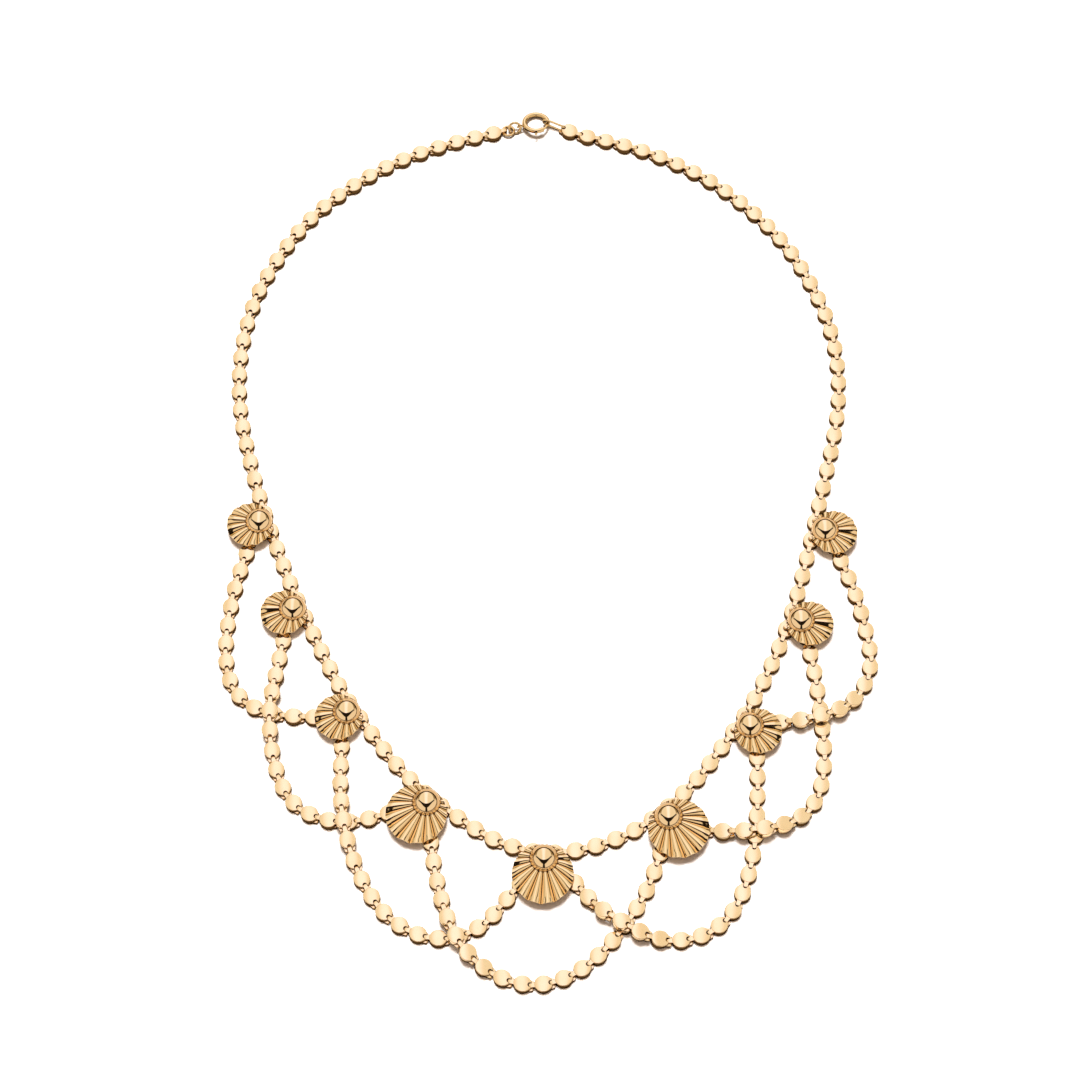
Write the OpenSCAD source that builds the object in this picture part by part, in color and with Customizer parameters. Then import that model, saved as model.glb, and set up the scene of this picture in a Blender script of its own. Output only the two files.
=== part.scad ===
// Gold festoon necklace, laid flat on a table.
// +X points right, +Y points to the clasp at the nape, +Z points up.
// The links run from the clasp down the left side, across the front and up the right side.

/* [Chain links] */
// Distance between two hinge bars along the chain
pitch = 4; // [3.9:0.05:4.1]
// Diameter of a link's polished top plate
link_d = 3; // [2.8:0.05:3.05]
// Height of a link
link_h = 1.6; // [1.5:0.05:1.8]
// Thickness of a link's top plate
plate_t = 0.3; // [0.2:0.05:0.35]
// Thickness of a link's side wall
wall_t = 0.3; // [0.2:0.05:0.4]
// Width of the notch in the front edge of the top plate
notch_w = 1; // [0.9:0.05:1.1]
// Width of the tongue that reaches over the next bar
tongue_w = 0.8; // [0.6:0.05:0.85]

/* [Hinges] */
// Diameter of the cross-bar in the front end of a link
bar_d = 0.28; // [0.24:0.02:0.3]
// Height of the bar above the underside of the link
bar_z = 0.7; // [0.65:0.05:0.75]
// Bore diameter of the curl that turns round the bar
curl_bore = 0.72; // [0.68:0.02:0.76]
// Wall thickness of the curl
curl_t = 0.14; // [0.12:0.01:0.16]
// Width of the curl
curl_w = 0.44; // [0.36:0.02:0.46]

/* [Rosettes] */
// Plate radius of a small and of a large rosette
rosette_r = [4.55, 5.8];
// Distance from the ball's centre out to the plate's centre, small and large
rosette_ecc = [1.85, 3];
// Radius of the polished ball, small and large
ball_r = [2.5, 2.8];
// Number of pleats in a plate
pleats = 22; // [18:1:24]
// Height of a pleat's ridge at the rim
pleat_h = 0.4; // [0.2:0.05:0.5]
// Thickness of the plate
rosette_t = 0.3; // [0.25:0.05:0.4]
// Height of the plate's surface at the ball's centre
hub_z = 2.95; // [2.9:0.05:3.2]
// Height of the plate's surface at the far rim
rim_z = 2.25; // [2.2:0.05:2.5]
// Distance from the chain's line out to the ball's centre
hub_out = 2; // [1.8:0.1:2.2]

/* [Clasp] */
// Middle radius of the spring ring's tube
ring_r = 2.45; // [2.3:0.05:2.6]
// Outer radius of the tube
tube_r = 0.5; // [0.48:0.01:0.52]
// Middle radius of a jump ring
jump_r = 1.2; // [1.15:0.05:1.25]
// Radius of the jump rings' wire
wire_r = 0.18; // [0.14:0.01:0.19]

/* [Hidden] */

gold = "gold";
eps = 0.01;
$fn = 24;

// The middle of the necklace's outline, which is the origin of the part
outline_mid = [1.43, 3.52, 0];

// Route of the main chain, point by point from the clasp: x, y
main_route = [
    [-3.5, 96.2], [-7.9, 94.9], [-15.8, 92.8], [-23.6, 90.1], [-31, 86.8], [-37.6, 82.5],
    [-43.8, 77.5], [-49.3, 71.4], [-53.5, 64.9], [-57.1, 57.7], [-59.5, 50], [-60.7, 42.3],
    [-60.9, 34.4], [-60.1, 26.6], [-58.4, 18.9], [-56.4, 11.2], [-53.9, 3.5],
    [-51.2, -4], [-48.3, -11.5], [-45, -18.8], [-41.6, -26], [-37.9, -33.2], [-33.1, -40.3],
    [-27.8, -47.4], [-21.9, -53.6], [-15, -58.9], [-7.6, -63.5], [0.8, -65.6],
    [9, -64.6], [16.7, -61.7], [23.4, -57.1], [29.5, -51.1], [34.4, -44.6], [38.7, -38.5],
    [42.2, -32.4], [45.7, -25], [48.6, -17.4], [51, -9.7], [53, -2], [54.8, 5.5],
    [56.7, 13.2], [58.5, 20.9], [59.9, 28.7], [60.3, 36.7], [59.6, 44.7], [57.7, 52.4],
    [54.7, 59.7], [51, 66.6], [46.2, 72.8], [40.4, 78.6], [34, 83.6], [27, 87.6],
    [19.5, 90.8], [11.9, 93], [8, 94], [4.4, 95.7], [1, 97.8]
];
main_links = 107;
// Links of the main chain that are soldered under each rosette: the first of each pair
rosette_first = [30, 35, 41, 47, 53, 59, 65, 71, 76];
// Which rosettes are large
rosette_size = [0, 0, 0, 1, 1, 1, 0, 0, 0];

// Festoons: from rosette, to rosette, number of links, link over the crossing, route x, y
from_col = 0;
to_col = 1;
count_col = 2;
over_col = 3;
route_col = 4;
festoons = [
    [1, 3, 13, undef, [
        [-57, 0.7], [-57.2, -1.4], [-59.3, -8.6], [-60.8, -18], [-60.8, -27], [-58.1, -33.9],
        [-51.5, -37.4], [-41.6, -38.1], [-38, -38.3]
    ]],
    [2, 4, 15, 4.5, [
        [-49.3, -18], [-49.6, -20], [-51, -29], [-51.9, -37.5], [-50.8, -47.2], [-47, -55.6],
        [-40, -59.2], [-33.5, -59], [-27, -57], [-23.5, -56]
    ]],
    [3, 5, 18, 4.5, [
        [-37.9, -40], [-37.9, -42], [-38, -51.5], [-36.9, -61], [-33.7, -70.4], [-28, -78.6],
        [-19.5, -82.5], [-11.5, -80.4], [-6.3, -74.7], [-2.6, -70.2], [-0.4, -67.5]
    ]],
    [4, 6, 20, 5.5, [
        [-21.2, -59.5], [-20.9, -61.4], [-19.4, -71], [-16.2, -81.6], [-10.7, -88], [-2, -91.4],
        [7, -88.8], [14.4, -81.6], [19.9, -73], [23.2, -63.8], [24.2, -60]
    ]],
    [5, 7, 18, 3.5, [
        [3.6, -67.8], [5.4, -69.8], [11.5, -77.2], [21.5, -82.6], [30.8, -81.6], [36.7, -76],
        [39.8, -67], [41.1, -56.5], [41.4, -44.4], [41.5, -41]
    ]],
    [6, 8, 15, 3.3, [
        [26.6, -60.2], [28.6, -60.7], [38, -61.7], [46.5, -60.2], [52.2, -55.4], [54.2, -47],
        [53.8, -37], [53, -28.8], [52, -23], [51.5, -20.5]
    ]],
    [7, 9, 13, 2.65, [
        [42, -39.5], [44, -39.3], [52.3, -38.8], [59.6, -35.5], [63.9, -28], [63.3, -20],
        [61.4, -11.3], [58.4, -3.2], [57.2, -0.3]
    ]]
];
// Height by which a festoon climbs to pass over the one below it, how far from the crossing
// it stays up, and where it is down again, both in links
lift = 1.9;
lift_flat = 0.7;
lift_end = 2.4;

// Derived sizes of a link, from its rear hinge to its front bar
disc_x = 2.05;
horn_x = 3.67;
leg_past_bar = 0.25;
leg_w = 1.9;
leg_z = 0.1;
leg_h = bar_z + bar_d / 2 + 0.06;
slot_w = 1.1;
slot_x = 3;
notch_x = 3.39;
curl_r = curl_bore / 2 + curl_t;
root_x = 0.62;

// Smooth curve through four points at the share t between the middle two
function blend(a, b, c, d, t) =
    0.5 * (2 * b + (c - a) * t + (2 * a - 5 * b + 4 * c - d) * t * t
    + (3 * b - 3 * c + d - a) * t * t * t);

// Fine points along a route, whose first and last points only set its direction
steps = 10;
function curve(route) = concat(
    [for (i = [1 : len(route) - 3], s = [0 : steps - 1])
        blend(route[i - 1], route[i], route[i + 1], route[i + 2], s / steps)],
    [route[len(route) - 2]]
);

// Length of the curve up to each of its points
function lengths(pts, i = 0, sum = 0, out = []) =
    i == len(pts) ? out
    : let (next = i == 0 ? 0 : sum + norm(pts[i] - pts[i - 1]))
        lengths(pts, i + 1, next, concat(out, [next]));

// Point at a given length along the curve
function at_length(pts, sums, s) =
    let (x = lookup(s, [for (i = [0 : len(pts) - 1]) [sums[i], pts[i][0]]]),
         y = lookup(s, [for (i = [0 : len(pts) - 1]) [sums[i], pts[i][1]]]))
    [x, y];

// Climb of hinge k of a festoon that passes over another at the link position over
function climb(k, over) =
    is_undef(over) ? 0
    : lift * min(1, max(0, (lift_end - abs(k - over)) / (lift_end - lift_flat)));

// Hinge points of a strand, evenly spaced along its route
function hinges(route, count, over = undef) =
    let (pts = curve(route), sums = lengths(pts), total = sums[len(sums) - 1])
    [for (k = [0 : count])
        let (p = at_length(pts, sums, total * k / count)) [p[0], p[1], bar_z + climb(k, over)]];

main_hinges = hinges(main_route, main_links);
festoon_hinges = [for (f = festoons) hinges(f[route_col], f[count_col], f[over_col])];

// Link from its rear hinge at p to its own bar at q
module link_from(p, q) {
    d = q - p;
    flat = norm([d[0], d[1]]);
    translate(p - outline_mid)
        rotate([0, -atan2(d[2], flat), atan2(d[1], d[0])])
            translate([0, 0, -bar_z])
                chain_link(norm(d));
}

// Places what follows in the part's frame
module in_frame(p) {
    translate(p - outline_mid) children();
}

// Link: a hollow cup with a polished top plate, a bar in front and a tongue behind
module link_outline() {
    translate([disc_x, 0]) circle(d = link_d, $fn = 32);
    polygon([[2.9, -1.2], [horn_x, -0.7], [horn_x, 0.7], [2.9, 1.2]]);
}

module link_notch() {
    translate([notch_x, 0, -eps]) cylinder(d = notch_w, h = link_h + 2 * eps);
    translate([notch_x, -notch_w / 2, -eps]) cube([1, notch_w, link_h + 2 * eps]);
}

module link_cup(reach) {
    leg_l = reach + leg_past_bar - slot_x;
    difference() {
        union() {
            linear_extrude(link_h) link_outline();
            translate([slot_x, -leg_w / 2, leg_z]) cube([leg_l, leg_w, leg_h - leg_z]);
        }
        translate([disc_x, 0, -eps])
            cylinder(d = link_d - 2 * wall_t, h = link_h - plate_t + eps, $fn = 32);
        translate([slot_x, -slot_w / 2, -eps])
            cube([leg_l + 1, slot_w, link_h - plate_t + eps]);
        link_notch();
    }
}

module link_bar(reach) {
    translate([reach, 0, bar_z])
        rotate([90, 0, 0]) cylinder(d = bar_d, h = leg_w - 0.3, center = true);
}

module link_tongue() {
    top = bar_z + curl_r;
    translate([0, 0, bar_z])
        rotate([90, 0, 0])
            difference() {
                cylinder(r = curl_r, h = curl_w, center = true);
                cylinder(d = curl_bore, h = curl_w + 1, center = true);
            }
    rotate([90, 0, 0])
        linear_extrude(tongue_w, center = true)
            polygon([
                [-0.22, top - 0.05], [0.05, top], [root_x, link_h],
                [root_x + plate_t, link_h], [root_x + plate_t, link_h - plate_t],
                [0.15, top - curl_t - 0.02], [-0.22, top - curl_t - 0.02]
            ]);
}

module chain_link(reach) {
    link_cup(reach);
    link_bar(reach);
    link_tongue();
}

// Links first to last of a strand, each from its own rear hinge to its front one
module strand(points, first, last) {
    color(gold)
        for (k = [first : last])
            link_from(points[k - 1], points[k]);
}

module festoon(n) {
    strand(festoon_hinges[n - 1], 1, festoons[n - 1][count_col]);
}

// Rosettes: a pleated plate with a ball near the chain's side
// Distance from the ball's centre to the plate's rim in the direction a
function rim_reach(a, r, ecc) =
    let (c = -ecc * sin(a)) c + sqrt(c * c - ecc * ecc + r * r);

// Points of a pleat round the plate: its valley and its ridge
samples = 2;
plate_bore = 1.5;
// Depth by which the rim steps in at a valley
scallop = 0.12;
function pleat_wave(i) = i % samples;

// Ring of points of the plate: share 0 is the bore and share 1 is the rim
function plate_ring(size, share, drop) =
    [for (i = [0 : pleats * samples - 1])
        let (a = 360 * i / (pleats * samples),
             step_in = scallop * (1 - pleat_wave(i)),
             reach = rim_reach(a, rosette_r[size], rosette_ecc[size]) - step_in,
             r = plate_bore + (reach - plate_bore) * share)
        [r * cos(a), r * sin(a), plate_z(size, r) + pleat_h * share * pleat_wave(i) - drop]];

// Height of the plate's valleys at the distance r from the ball's centre
function plate_z(size, r) =
    hub_z - (hub_z - rim_z) * r / (rosette_r[size] + rosette_ecc[size]);

module pleated_plate(size) {
    n = pleats * samples;
    rings = [plate_ring(size, 0, 0), plate_ring(size, 1, 0),
        plate_ring(size, 1, rosette_t), plate_ring(size, 0, rosette_t)];
    polyhedron(
        points = [for (ring = rings) each ring],
        faces = [for (b = [0 : 3], i = [0 : n - 1], half = [0, 1])
            let (p = b * n + i, q = b * n + (i + 1) % n,
                 s = ((b + 1) % 4) * n + i, t = ((b + 1) % 4) * n + (i + 1) % n)
            half == 0 ? [p, q, t] : [p, t, s]]
    );
}

module ball(size) {
    r = ball_r[size];
    translate([0, 0, hub_z - 0.5])
        rotate_extrude($fn = 48)
            difference() {
                intersection() {
                    circle(r = r, $fn = 48);
                    square(r);
                }
                circle(r = r - 0.4, $fn = 48);
            }
}

post_r = 0.5;
// Solder post from a link's plate at the point xy up into the rosette's plate
module solder_post(size, xy) {
    top = plate_z(size, norm(xy)) - 0.1;
    translate([xy[0], xy[1], link_h - 0.2]) cylinder(r = post_r, h = top - link_h + 0.2);
}

// Point one pitch behind the first hinge, or past the last one, of a festoon
function stub_start(f) =
    let (p = festoon_hinges[f][0], g = festoons[f][route_col][0], d = [p[0] - g[0], p[1] - g[1], 0])
    p - pitch * d / norm(d);
function stub_end(f) =
    let (h = festoon_hinges[f], r = festoons[f][route_col], p = h[len(h) - 1], g = r[len(r) - 1],
         d = [g[0] - p[0], g[1] - p[1], 0])
    p + pitch * d / norm(d);

module rosette(n) {
    size = rosette_size[n - 1];
    first = rosette_first[n - 1];
    before = main_hinges[first - 1];
    mid = main_hinges[first];
    after = main_hinges[first + 1];
    heading = atan2(after[1] - before[1], after[0] - before[0]);
    out = [sin(heading), -cos(heading), 0];
    hub = mid + hub_out * out;
    color(gold) {
        link_from(before, mid);
        link_from(mid, after);
        in_frame([hub[0], hub[1], 0])
            rotate([0, 0, heading]) {
                pleated_plate(size);
                ball(size);
                solder_post(size, [-1.6, hub_out - 0.6]);
                solder_post(size, [1.6, hub_out - 0.6]);
            }
        for (f = [0 : len(festoons) - 1]) {
            if (festoons[f][from_col] == n) {
                end = festoon_hinges[f][0];
                start = stub_start(f);
                link_from(start, end);
                stub_post(size, hub, (start + end) / 2);
            }
            if (festoons[f][to_col] == n) {
                h = festoon_hinges[f];
                start = h[len(h) - 1];
                end = stub_end(f);
                link_from(start, end);
                stub_post(size, hub, (start + end) / 2);
            }
        }
    }
}

// Post over the middle of a festoon's soldered end link
module stub_post(size, hub, mid) {
    in_frame([hub[0], hub[1], 0]) solder_post(size, [mid[0] - hub[0], mid[1] - hub[1]]);
}

// Clasp: two jump rings, a spring ring with its sliding bolt, and a loop at the other end
// Turn of each jump ring and of the soldered eye about the line between the chain and the ring
jump_tilt = [-6, 52];
eye_tilt = -42;
ring_mid = [-0.9, 96.75, 1.5];
ring_tilt = -13;
channel_r = tube_r - 0.13;
bolt_r = channel_r - 0.11;
// Angles round the ring: ends of the opening, tip and tail of the bolt, depth of the seat for its
// tip, its knob, its travel and the free play past either end of that
gap_from = -54;
gap_to = -8;
bolt_tip = -4;
seat = 8;
bolt_tail = -98;
knob_at = -90;
bolt_travel = 46;
end_play = 6;
slot_w_ring = 0.44;
stem_r = 0.12;
eye_r = 0.62;
eye_wire = 0.16;
eye_out = 0.5;
eye_z = 1.47;
// Height by which the second jump ring rises to the eye
jump_rise = 0.5;
knob_out = 0.42;
knob_r = 0.26;
left_end = main_hinges[0];
right_end = main_hinges[main_links];
to_ring = atan2(ring_mid[1] - left_end[1], ring_mid[0] - left_end[0]);
eye_from_ring = ring_r + tube_r + eye_out;
eye_mid = [ring_mid[0] - eye_from_ring * cos(to_ring),
    ring_mid[1] - eye_from_ring * sin(to_ring), eye_z];

// Part of a ring of round wire, from one angle through a sweep
module wire_arc(r, wire, from = 0, sweep = 360) {
    rotate([0, 0, from]) rotate_extrude(angle = sweep, $fn = 64) translate([r, 0]) circle(r = wire);
}

// Turns what follows to run along +X, then up by a pitch and round by a yaw
module turned(mid, yaw, pitch = 0, tilt = 0) {
    in_frame(mid) rotate([0, -pitch, yaw]) rotate([tilt, 0, 0]) children();
}

module clasp_jump_ring_1() {
    u = [cos(to_ring), sin(to_ring), 0];
    color(gold) turned(left_end + jump_r * u, to_ring, 0, jump_tilt[0]) wire_arc(jump_r, wire_r);
}

module clasp_jump_ring_2() {
    u = [cos(to_ring), sin(to_ring)];
    pitch_up = asin(jump_rise / (2 * jump_r));
    half = jump_r * cos(pitch_up);
    mid = [eye_mid[0] - half * u[0], eye_mid[1] - half * u[1], eye_z - jump_rise / 2];
    color(gold) turned(mid, to_ring, pitch_up, jump_tilt[1]) wire_arc(jump_r, wire_r);
}

module in_ring() {
    in_frame(ring_mid) rotate([ring_tilt, 0, 0]) children();
}

module spring_ring() {
    hollow_from = bolt_tail - bolt_travel - end_play;
    color(gold) {
        in_ring()
            difference() {
                wire_arc(ring_r, tube_r, gap_to, 360 + gap_from - gap_to);
                wire_arc(ring_r, channel_r, hollow_from, gap_from - hollow_from + seat);
                wire_arc(ring_r, channel_r, gap_to - seat, 2 * seat);
                rotate([0, 0, knob_at - bolt_travel - end_play])
                    rotate_extrude(angle = bolt_travel + 2 * end_play, $fn = 64)
                        translate([ring_r, -slot_w_ring / 2]) square([2 * tube_r, slot_w_ring]);
            }
        turned(eye_mid, to_ring, 0, eye_tilt) wire_arc(eye_r, eye_wire);
    }
}

module spring_bolt() {
    color(gold) in_ring() {
        wire_arc(ring_r, bolt_r, bolt_tail, bolt_tip - bolt_tail);
        rotate([0, 0, knob_at]) {
            translate([ring_r + 0.1, 0, 0])
                rotate([0, 90, 0]) cylinder(r = stem_r, h = tube_r + knob_out - 0.2);
            translate([ring_r + tube_r + knob_out, 0, 0]) sphere(r = knob_r);
        }
    }
}

// Long loop of wire through the last bar and round the ring's tube
loop_r = 0.89;
loop_wire = 0.17;
loop_from = 0.11;
loop_past = 0.12;
loop_at = 1;
loop_end_z = 1.49;
module end_loop() {
    tube_at = [ring_mid[0] + ring_r * cos(loop_at), ring_mid[1] + ring_r * sin(loop_at)];
    yaw = atan2(tube_at[1] - right_end[1], tube_at[0] - right_end[0]);
    z = loop_r + loop_wire + 0.02;
    start = [right_end[0] + loop_from * cos(yaw), right_end[1] + loop_from * sin(yaw), z];
    run = norm([tube_at[0] - start[0], tube_at[1] - start[1]]) + loop_past;
    rise = atan2(loop_end_z - z, run);
    color(gold) turned(start, yaw, rise, 90) {
        wire_arc(loop_r, loop_wire, 90, 180);
        translate([run, 0, 0]) wire_arc(loop_r, loop_wire, -90, 180);
        for (side = [-1, 1])
            translate([0, side * loop_r, 0]) rotate([0, 90, 0]) cylinder(r = loop_wire, h = run);
    }
}

module neck_chain_left() { strand(main_hinges, 1, 29); }
module neck_chain_right() { strand(main_hinges, 78, 107); }

module front_chain_left() {
    strand(main_hinges, 32, 34);
    strand(main_hinges, 37, 40);
    strand(main_hinges, 43, 46);
    strand(main_hinges, 49, 52);
}

module front_chain_right() {
    strand(main_hinges, 55, 58);
    strand(main_hinges, 61, 64);
    strand(main_hinges, 67, 70);
    strand(main_hinges, 73, 75);
}

neck_chain_left();
neck_chain_right();
front_chain_left();
front_chain_right();
for (n = [1 : 9]) rosette(n);
for (n = [1 : 7]) festoon(n);
clasp_jump_ring_1();
clasp_jump_ring_2();
spring_ring();
spring_bolt();
end_loop();
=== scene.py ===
"""Gold festoon necklace lying open on a pale table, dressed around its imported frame.

Each class is one kind of part. It reads its place from the frame's solids, models its own meshes
and dresses them. Patterns are modelled in millimetres and laid in place in metres.
"""

import logging
import math
import random
from collections.abc import Callable, Iterable
from dataclasses import dataclass, field
from enum import Enum

import bmesh
import bpy
import numpy as np
from mathutils import Matrix, Vector

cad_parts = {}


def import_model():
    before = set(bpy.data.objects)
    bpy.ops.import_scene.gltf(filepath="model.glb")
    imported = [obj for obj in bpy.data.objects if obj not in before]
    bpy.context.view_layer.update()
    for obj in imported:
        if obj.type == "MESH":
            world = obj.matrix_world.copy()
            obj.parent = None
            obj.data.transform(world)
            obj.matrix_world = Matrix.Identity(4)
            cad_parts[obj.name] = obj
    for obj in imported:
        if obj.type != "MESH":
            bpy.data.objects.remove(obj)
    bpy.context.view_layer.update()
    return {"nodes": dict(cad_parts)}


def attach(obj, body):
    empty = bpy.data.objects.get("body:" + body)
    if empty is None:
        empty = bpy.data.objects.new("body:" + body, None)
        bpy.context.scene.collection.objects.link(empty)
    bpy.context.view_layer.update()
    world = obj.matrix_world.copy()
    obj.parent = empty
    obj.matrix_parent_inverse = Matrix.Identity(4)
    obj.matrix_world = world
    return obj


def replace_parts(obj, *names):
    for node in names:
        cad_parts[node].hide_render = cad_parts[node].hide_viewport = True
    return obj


LOG = logging.getLogger("necklace")
MM = 0.001
HOLDER = "necklace"
CRISP_DEGREES = 40.0
ROUND_DEGREES = 50.0
SEAM_WELD = 1e-4
UP = Vector((0, 0, 1))
IN_PLACE = Matrix.Identity(4)

Piece = bpy.types.Object
Socket = bpy.types.NodeSocket
Triple = tuple[float, float, float]
# What goes into a node's socket: another node's output, a number, a vector or a colour.
Feed = Socket | float | Triple


class Slot(Enum):
    """The material slots' names."""

    LINKS = "link_gold"
    ROSETTES = "rosette_gold"
    CLASP = "clasp_gold"


def only(piece: Piece) -> None:
    """Leave one piece selected and active.

    Args:
        piece: The piece to work on.
    """
    bpy.ops.object.select_all(action="DESELECT")
    piece.select_set(True)
    bpy.context.view_layer.objects.active = piece


def fresh(name: str) -> Piece:
    """Name the primitive that was just added, and put its place in its mesh.

    Args:
        name: The new name.

    Returns:
        The primitive's object.
    """
    piece = bpy.context.object
    piece.name = name
    only(piece)
    bpy.ops.object.transform_apply()
    return piece


def apply_modifier(piece: Piece, kind: str, **settings: object) -> None:
    """Add a modifier, set it and apply it.

    Args:
        piece: The piece that gets it.
        kind: The modifier's type.
        settings: Its properties by name.
    """
    only(piece)
    modifier = piece.modifiers.new(kind.title(), kind)
    for key, value in settings.items():
        setattr(modifier, key, value)
    bpy.ops.object.modifier_apply(modifier=modifier.name)


def carve(piece: Piece, tool: Piece, operation: str = "DIFFERENCE") -> None:
    """Cut, fuse or intersect a piece with a tool, which is then removed.

    Args:
        piece: The piece that is changed.
        tool: The other solid.
        operation: DIFFERENCE, UNION or INTERSECT.
    """
    apply_modifier(piece, "BOOLEAN", object=tool, operation=operation, solver="EXACT")
    discard(tool)


def discard(piece: Piece) -> None:
    """Remove a piece and its mesh.

    Args:
        piece: The piece.
    """
    mesh = piece.data
    bpy.data.objects.remove(piece)
    bpy.data.meshes.remove(mesh)


def smooth(piece: Piece, degrees: float) -> None:
    """Shade a piece smooth, but for its sharp edges.

    Args:
        piece: The piece.
        degrees: The angle from which an edge is sharp.
    """
    only(piece)
    bpy.ops.object.shade_smooth_by_angle(angle=math.radians(degrees))


def laid(pattern: Piece, place: Matrix) -> Piece:
    """Copy a pattern, with its own mesh, to a place.

    Args:
        pattern: The piece to copy.
        place: Where its mesh goes.

    Returns:
        The copy, whose object stays at the origin.
    """
    twin = pattern.copy()
    twin.data = pattern.data.copy()
    bpy.context.scene.collection.objects.link(twin)
    twin.data.transform(place)
    if place.is_negative:
        twin.data.flip_normals()
    return twin


def placed(spot: Vector, axes: tuple[Vector, Vector, Vector]) -> Matrix:
    """Work out the place of a pattern that is modelled in millimetres.

    Args:
        spot: Where its origin goes.
        axes: Where its X, Y and Z point.

    Returns:
        The place.
    """
    return Matrix.Translation(spot) @ Matrix(axes).transposed().to_4x4() @ Matrix.Scale(MM, 4)


def joined(pieces: list[Piece], name: str) -> Piece:
    """Join pieces into one.

    Args:
        pieces: At least one piece.
        name: The name of the whole.

    Returns:
        The joined piece.
    """
    bpy.ops.object.select_all(action="DESELECT")
    for piece in pieces:
        piece.select_set(True)
    bpy.context.view_layer.objects.active = pieces[0]
    if len(pieces) > 1:
        bpy.ops.object.join()
    pieces[0].name = name
    pieces[0].data.name = name
    return pieces[0]


class Bench:
    """Edit mode on one piece, with nothing selected to begin with."""

    def __init__(self, piece: Piece) -> None:
        """Keep the piece to work on."""
        self.piece = piece

    def __enter__(self) -> "Bench":
        """Open edit mode."""
        only(self.piece)
        bpy.ops.object.mode_set(mode="EDIT")
        bpy.ops.mesh.select_mode(type="VERT")
        bpy.ops.mesh.select_all(action="DESELECT")
        return self

    def __exit__(self, *_: object) -> None:
        """Close edit mode."""
        bpy.ops.object.mode_set(mode="OBJECT")

    @staticmethod
    def everything() -> None:
        """Select the whole piece."""
        bpy.ops.mesh.select_all(action="SELECT")

    def points(self, test: Callable[[Vector], bool]) -> None:
        """Select points, and what lies between them.

        Args:
            test: Tells from a point's place whether it is wanted.
        """
        self._pick("VERT", lambda point: test(point.co))

    def faces(self, test: Callable[[Vector], bool]) -> None:
        """Select faces.

        Args:
            test: Tells from a face's middle whether it is wanted.
        """
        self._pick("FACE", lambda face: test(face.calc_center_median()))

    def _pick(self, kind: str, test: Callable[[object], bool]) -> None:
        """Select what passes a test, and nothing else.

        Args:
            kind: VERT or FACE.
            test: Tells whether a point or face is wanted.
        """
        bpy.ops.mesh.select_mode(type=kind)
        bpy.ops.mesh.select_all(action="DESELECT")
        shape = bmesh.from_edit_mesh(self.piece.data)
        for part in shape.verts if kind == "VERT" else shape.faces:
            part.select_set(test(part))
        if kind == "VERT":
            shape.select_flush(True)
        bmesh.update_edit_mesh(self.piece.data)

    @staticmethod
    def move(x: float = 0, y: float = 0, z: float = 0) -> None:
        """Move what is selected."""
        bpy.ops.transform.translate(value=(x, y, z))

    @staticmethod
    def stretch(factors: Triple, about: Triple) -> None:
        """Scale what is selected about a point."""
        bpy.ops.transform.resize(value=factors, center_override=about)

    @staticmethod
    def pull(x: float = 0, y: float = 0, z: float = 0) -> None:
        """Extrude what is selected."""
        bpy.ops.mesh.extrude_region_move(TRANSFORM_OT_translate={"value": (x, y, z)})

    def weld(self) -> None:
        """Weld the whole piece's seams, and turn its faces outward."""
        self.everything()
        bpy.ops.mesh.remove_doubles(threshold=SEAM_WELD)
        bpy.ops.mesh.normals_make_consistent(inside=False)


def drum(
    name: str, radius: float, low: Triple, length: float, sides: int, lying: bool = False
) -> Piece:
    """Add a drum that stands, or one that lies across, along Y.

    Args:
        name: Its name.
        radius: Its radius.
        low: The middle of its first face.
        length: Its length.
        sides: Its number of sides.
        lying: Whether it lies.

    Returns:
        The drum.
    """
    way = Vector((0, length / 2, 0) if lying else (0, 0, length / 2))
    bpy.ops.mesh.primitive_cylinder_add(
        vertices=sides,
        radius=radius,
        depth=length,
        location=Vector(low) + way,
        rotation=(math.pi / 2 if lying else 0, 0, 0),
    )
    return fresh(name)


def block(name: str, low: Triple, high: Triple) -> Piece:
    """Add a block between two corners.

    Args:
        name: Its name.
        low: Its lowest corner.
        high: Its highest corner.

    Returns:
        The block.
    """
    middle = [(a + b) / 2 for a, b in zip(low, high)]
    size = [b - a for a, b in zip(low, high)]
    bpy.ops.mesh.primitive_cube_add(size=1, location=middle, scale=size)
    return fresh(name)


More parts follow.
